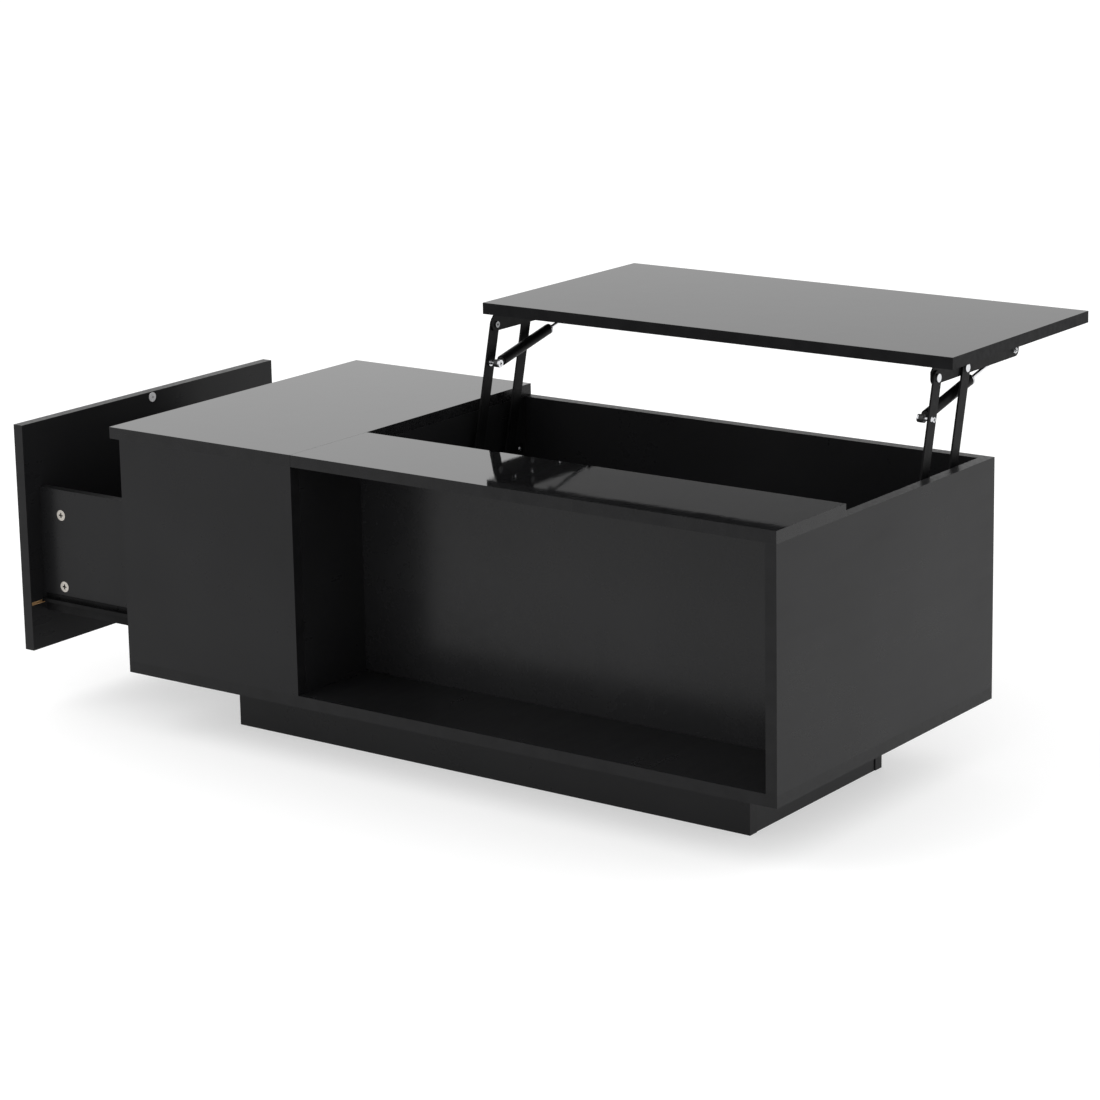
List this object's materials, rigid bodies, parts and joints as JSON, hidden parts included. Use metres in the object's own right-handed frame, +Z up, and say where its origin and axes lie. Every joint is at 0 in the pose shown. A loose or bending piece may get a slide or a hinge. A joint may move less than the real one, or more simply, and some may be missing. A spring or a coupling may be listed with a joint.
{
  "type": "lift top coffee table",
  "caption": "Low box table on a recessed plinth with a top panel that lifts and swings out on parallel arms, a storage well, an open front shelf and an end drawer.",
  "frame": {"origin": "on the floor at the middle of the cabinet's footprint", "axes": "+X along the table to the right end, away from the drawer; +Y to the back, the side the raised top moves to; +Z up"},
  "size_m": [1.4055, 0.886, 0.6334],
  "materials": {
    "gloss_black": "high-gloss black lacquer on fibreboard",
    "black_steel": "satin black paint",
    "zinc_steel": "bright zinc",
    "chrome_rod": "hard chrome",
    "black_nylon": "moulded",
    "white_nylon": "moulded"
  },
  "bodies": {
    "cabinet": {"bottom_board": "gloss_black", "right_side_panel": "gloss_black", "back_panel": "gloss_black", "divider_panel": "gloss_black", "drawer_bay_front_panel": "gloss_black", "shelf_back_panel": "gloss_black", "left_top_board": "gloss_black", "front_top_board": "gloss_black", "drawer_bay_rail": "gloss_black", "plinth_front_board": "gloss_black", "plinth_rear_board": "gloss_black", "plinth_left_board": "gloss_black", "plinth_right_board": "gloss_black", "plinth_centre_brace": "gloss_black", "lift_base_bracket_left": "black_steel", "lift_base_bracket_right": "black_steel", "base_pivot_pins": "zinc_steel", "base_stop_pins": "zinc_steel", "base_bracket_screws": "zinc_steel", "slide_cabinet_member_front": "black_steel", "slide_cabinet_member_rear": "black_steel", "slide_cabinet_screws": "zinc_steel", "slide_cabinet_axles": "zinc_steel", "push_latch_housing": "black_nylon", "carcass_cam_locks": "zinc_steel"},
    "drawer": {"drawer_front": "gloss_black", "drawer_side_front": "gloss_black", "drawer_side_rear": "gloss_black", "drawer_back": "gloss_black", "drawer_bottom": "gloss_black", "drawer_cam_locks": "zinc_steel", "drawer_back_screws": "zinc_steel", "slide_drawer_member_front": "black_steel", "slide_drawer_member_rear": "black_steel", "slide_drawer_screws": "zinc_steel", "slide_drawer_axles": "zinc_steel", "latch_strike_plate": "zinc_steel"},
    "cabinet_roller_front": {"slide_roller_cabinet_front": "white_nylon"},
    "cabinet_roller_rear": {"slide_roller_cabinet_rear": "white_nylon"},
    "drawer_roller_front": {"slide_roller_drawer_front": "white_nylon"},
    "drawer_roller_rear": {"slide_roller_drawer_rear": "white_nylon"},
    "latch_plunger": {"push_latch_plunger": "black_nylon"},
    "front_arms": {"lift_front_arm_left": "black_steel", "lift_front_arm_right": "black_steel", "spring_lower_studs": "zinc_steel"},
    "rear_arms": {"lift_rear_arm_left": "black_steel", "lift_rear_arm_right": "black_steel"},
    "lift_top": {"lift_top_panel": "gloss_black", "top_bracket_left": "black_steel", "top_bracket_right": "black_steel", "top_pivot_rivets": "zinc_steel", "top_bracket_screws": "zinc_steel", "spring_stud_nuts": "zinc_steel"},
    "spring_tubes": {"gas_spring_tube_left": "black_steel", "gas_spring_tube_right": "black_steel", "spring_lower_eyes": "black_nylon"},
    "spring_rods": {"gas_spring_rod_left": "chrome_rod", "gas_spring_rod_right": "chrome_rod", "spring_upper_eyes": "black_nylon", "spring_upper_studs": "zinc_steel"}
  },
  "joints": [
    {"name": "drawer_slide", "type": "slide", "parent": "cabinet", "child": "drawer", "axis": [1, 0, 0], "range_m": [-0.02, 0.205]},
    {"name": "cabinet_roller_front_spin", "type": "hinge", "parent": "cabinet", "child": "cabinet_roller_front", "pos_m": [-0.5765, -0.272, 0.1716], "axis": [0, 1, 0], "range_deg": [-165, 1679]},
    {"name": "cabinet_roller_rear_spin", "type": "hinge", "parent": "cabinet", "child": "cabinet_roller_rear", "pos_m": [-0.5765, 0.272, 0.1716], "axis": [0, 1, 0], "range_deg": [-165, 1679]},
    {"name": "drawer_roller_front_spin", "type": "hinge", "parent": "drawer", "child": "drawer_roller_front", "pos_m": [-0.497, -0.2733, 0.1543], "axis": [0, 1, 0], "range_deg": [-165, 1679]},
    {"name": "drawer_roller_rear_spin", "type": "hinge", "parent": "drawer", "child": "drawer_roller_rear", "pos_m": [-0.497, 0.2733, 0.1543], "axis": [0, 1, 0], "range_deg": [-165, 1679]},
    {"name": "latch_plunger_slide", "type": "slide", "parent": "cabinet", "child": "latch_plunger", "axis": [1, 0, 0], "range_m": [0, 0.003], "stiffness_N_per_m": 300},
    {"name": "lift_front_swing", "type": "hinge", "parent": "cabinet", "child": "front_arms", "pos_m": [0.1615, 0.12441, 0.35851], "axis": [1, 0, 0], "range_deg": [0, 82.95]},
    {"name": "lift_rear_swing", "type": "hinge", "parent": "cabinet", "child": "rear_arms", "pos_m": [0.1615, 0.20841, 0.35851], "axis": [1, 0, 0], "range_deg": [0, 82.95]},
    {"name": "lift_top_level", "type": "hinge", "parent": "front_arms", "child": "lift_top", "pos_m": [0.1615, 0.1845, 0.5986], "axis": [1, 0, 0], "range_deg": [-82.95, 0]},
    {"name": "spring_tube_tilt", "type": "hinge", "parent": "front_arms", "child": "spring_tubes", "pos_m": [0.1615, 0.16986, 0.5401], "axis": [1, 0, 0], "range_deg": [-89.25, 0]},
    {"name": "spring_rod_stroke", "type": "slide", "parent": "spring_tubes", "child": "spring_rods", "axis": [0, 0.9732, 0.2299], "range_m": [-0.07639, 0]}
  ],
  "couplings": [
    {"joint": "cabinet_roller_front_spin", "follows": "drawer_slide", "rad_per_m": 142.86},
    {"joint": "cabinet_roller_rear_spin", "follows": "drawer_slide", "rad_per_m": 142.86},
    {"joint": "drawer_roller_front_spin", "follows": "drawer_slide", "rad_per_m": 142.86},
    {"joint": "drawer_roller_rear_spin", "follows": "drawer_slide", "rad_per_m": 142.86},
    {"joint": "lift_rear_swing", "follows": "lift_front_swing", "ratio": 1},
    {"joint": "lift_top_level", "follows": "lift_front_swing", "ratio": -1},
    {"joint": "spring_tube_tilt", "follows": "lift_front_swing", "ratio": -1.0758},
    {"joint": "spring_rod_stroke", "follows": "lift_front_swing", "m_per_rad": -0.052759}
  ]
}
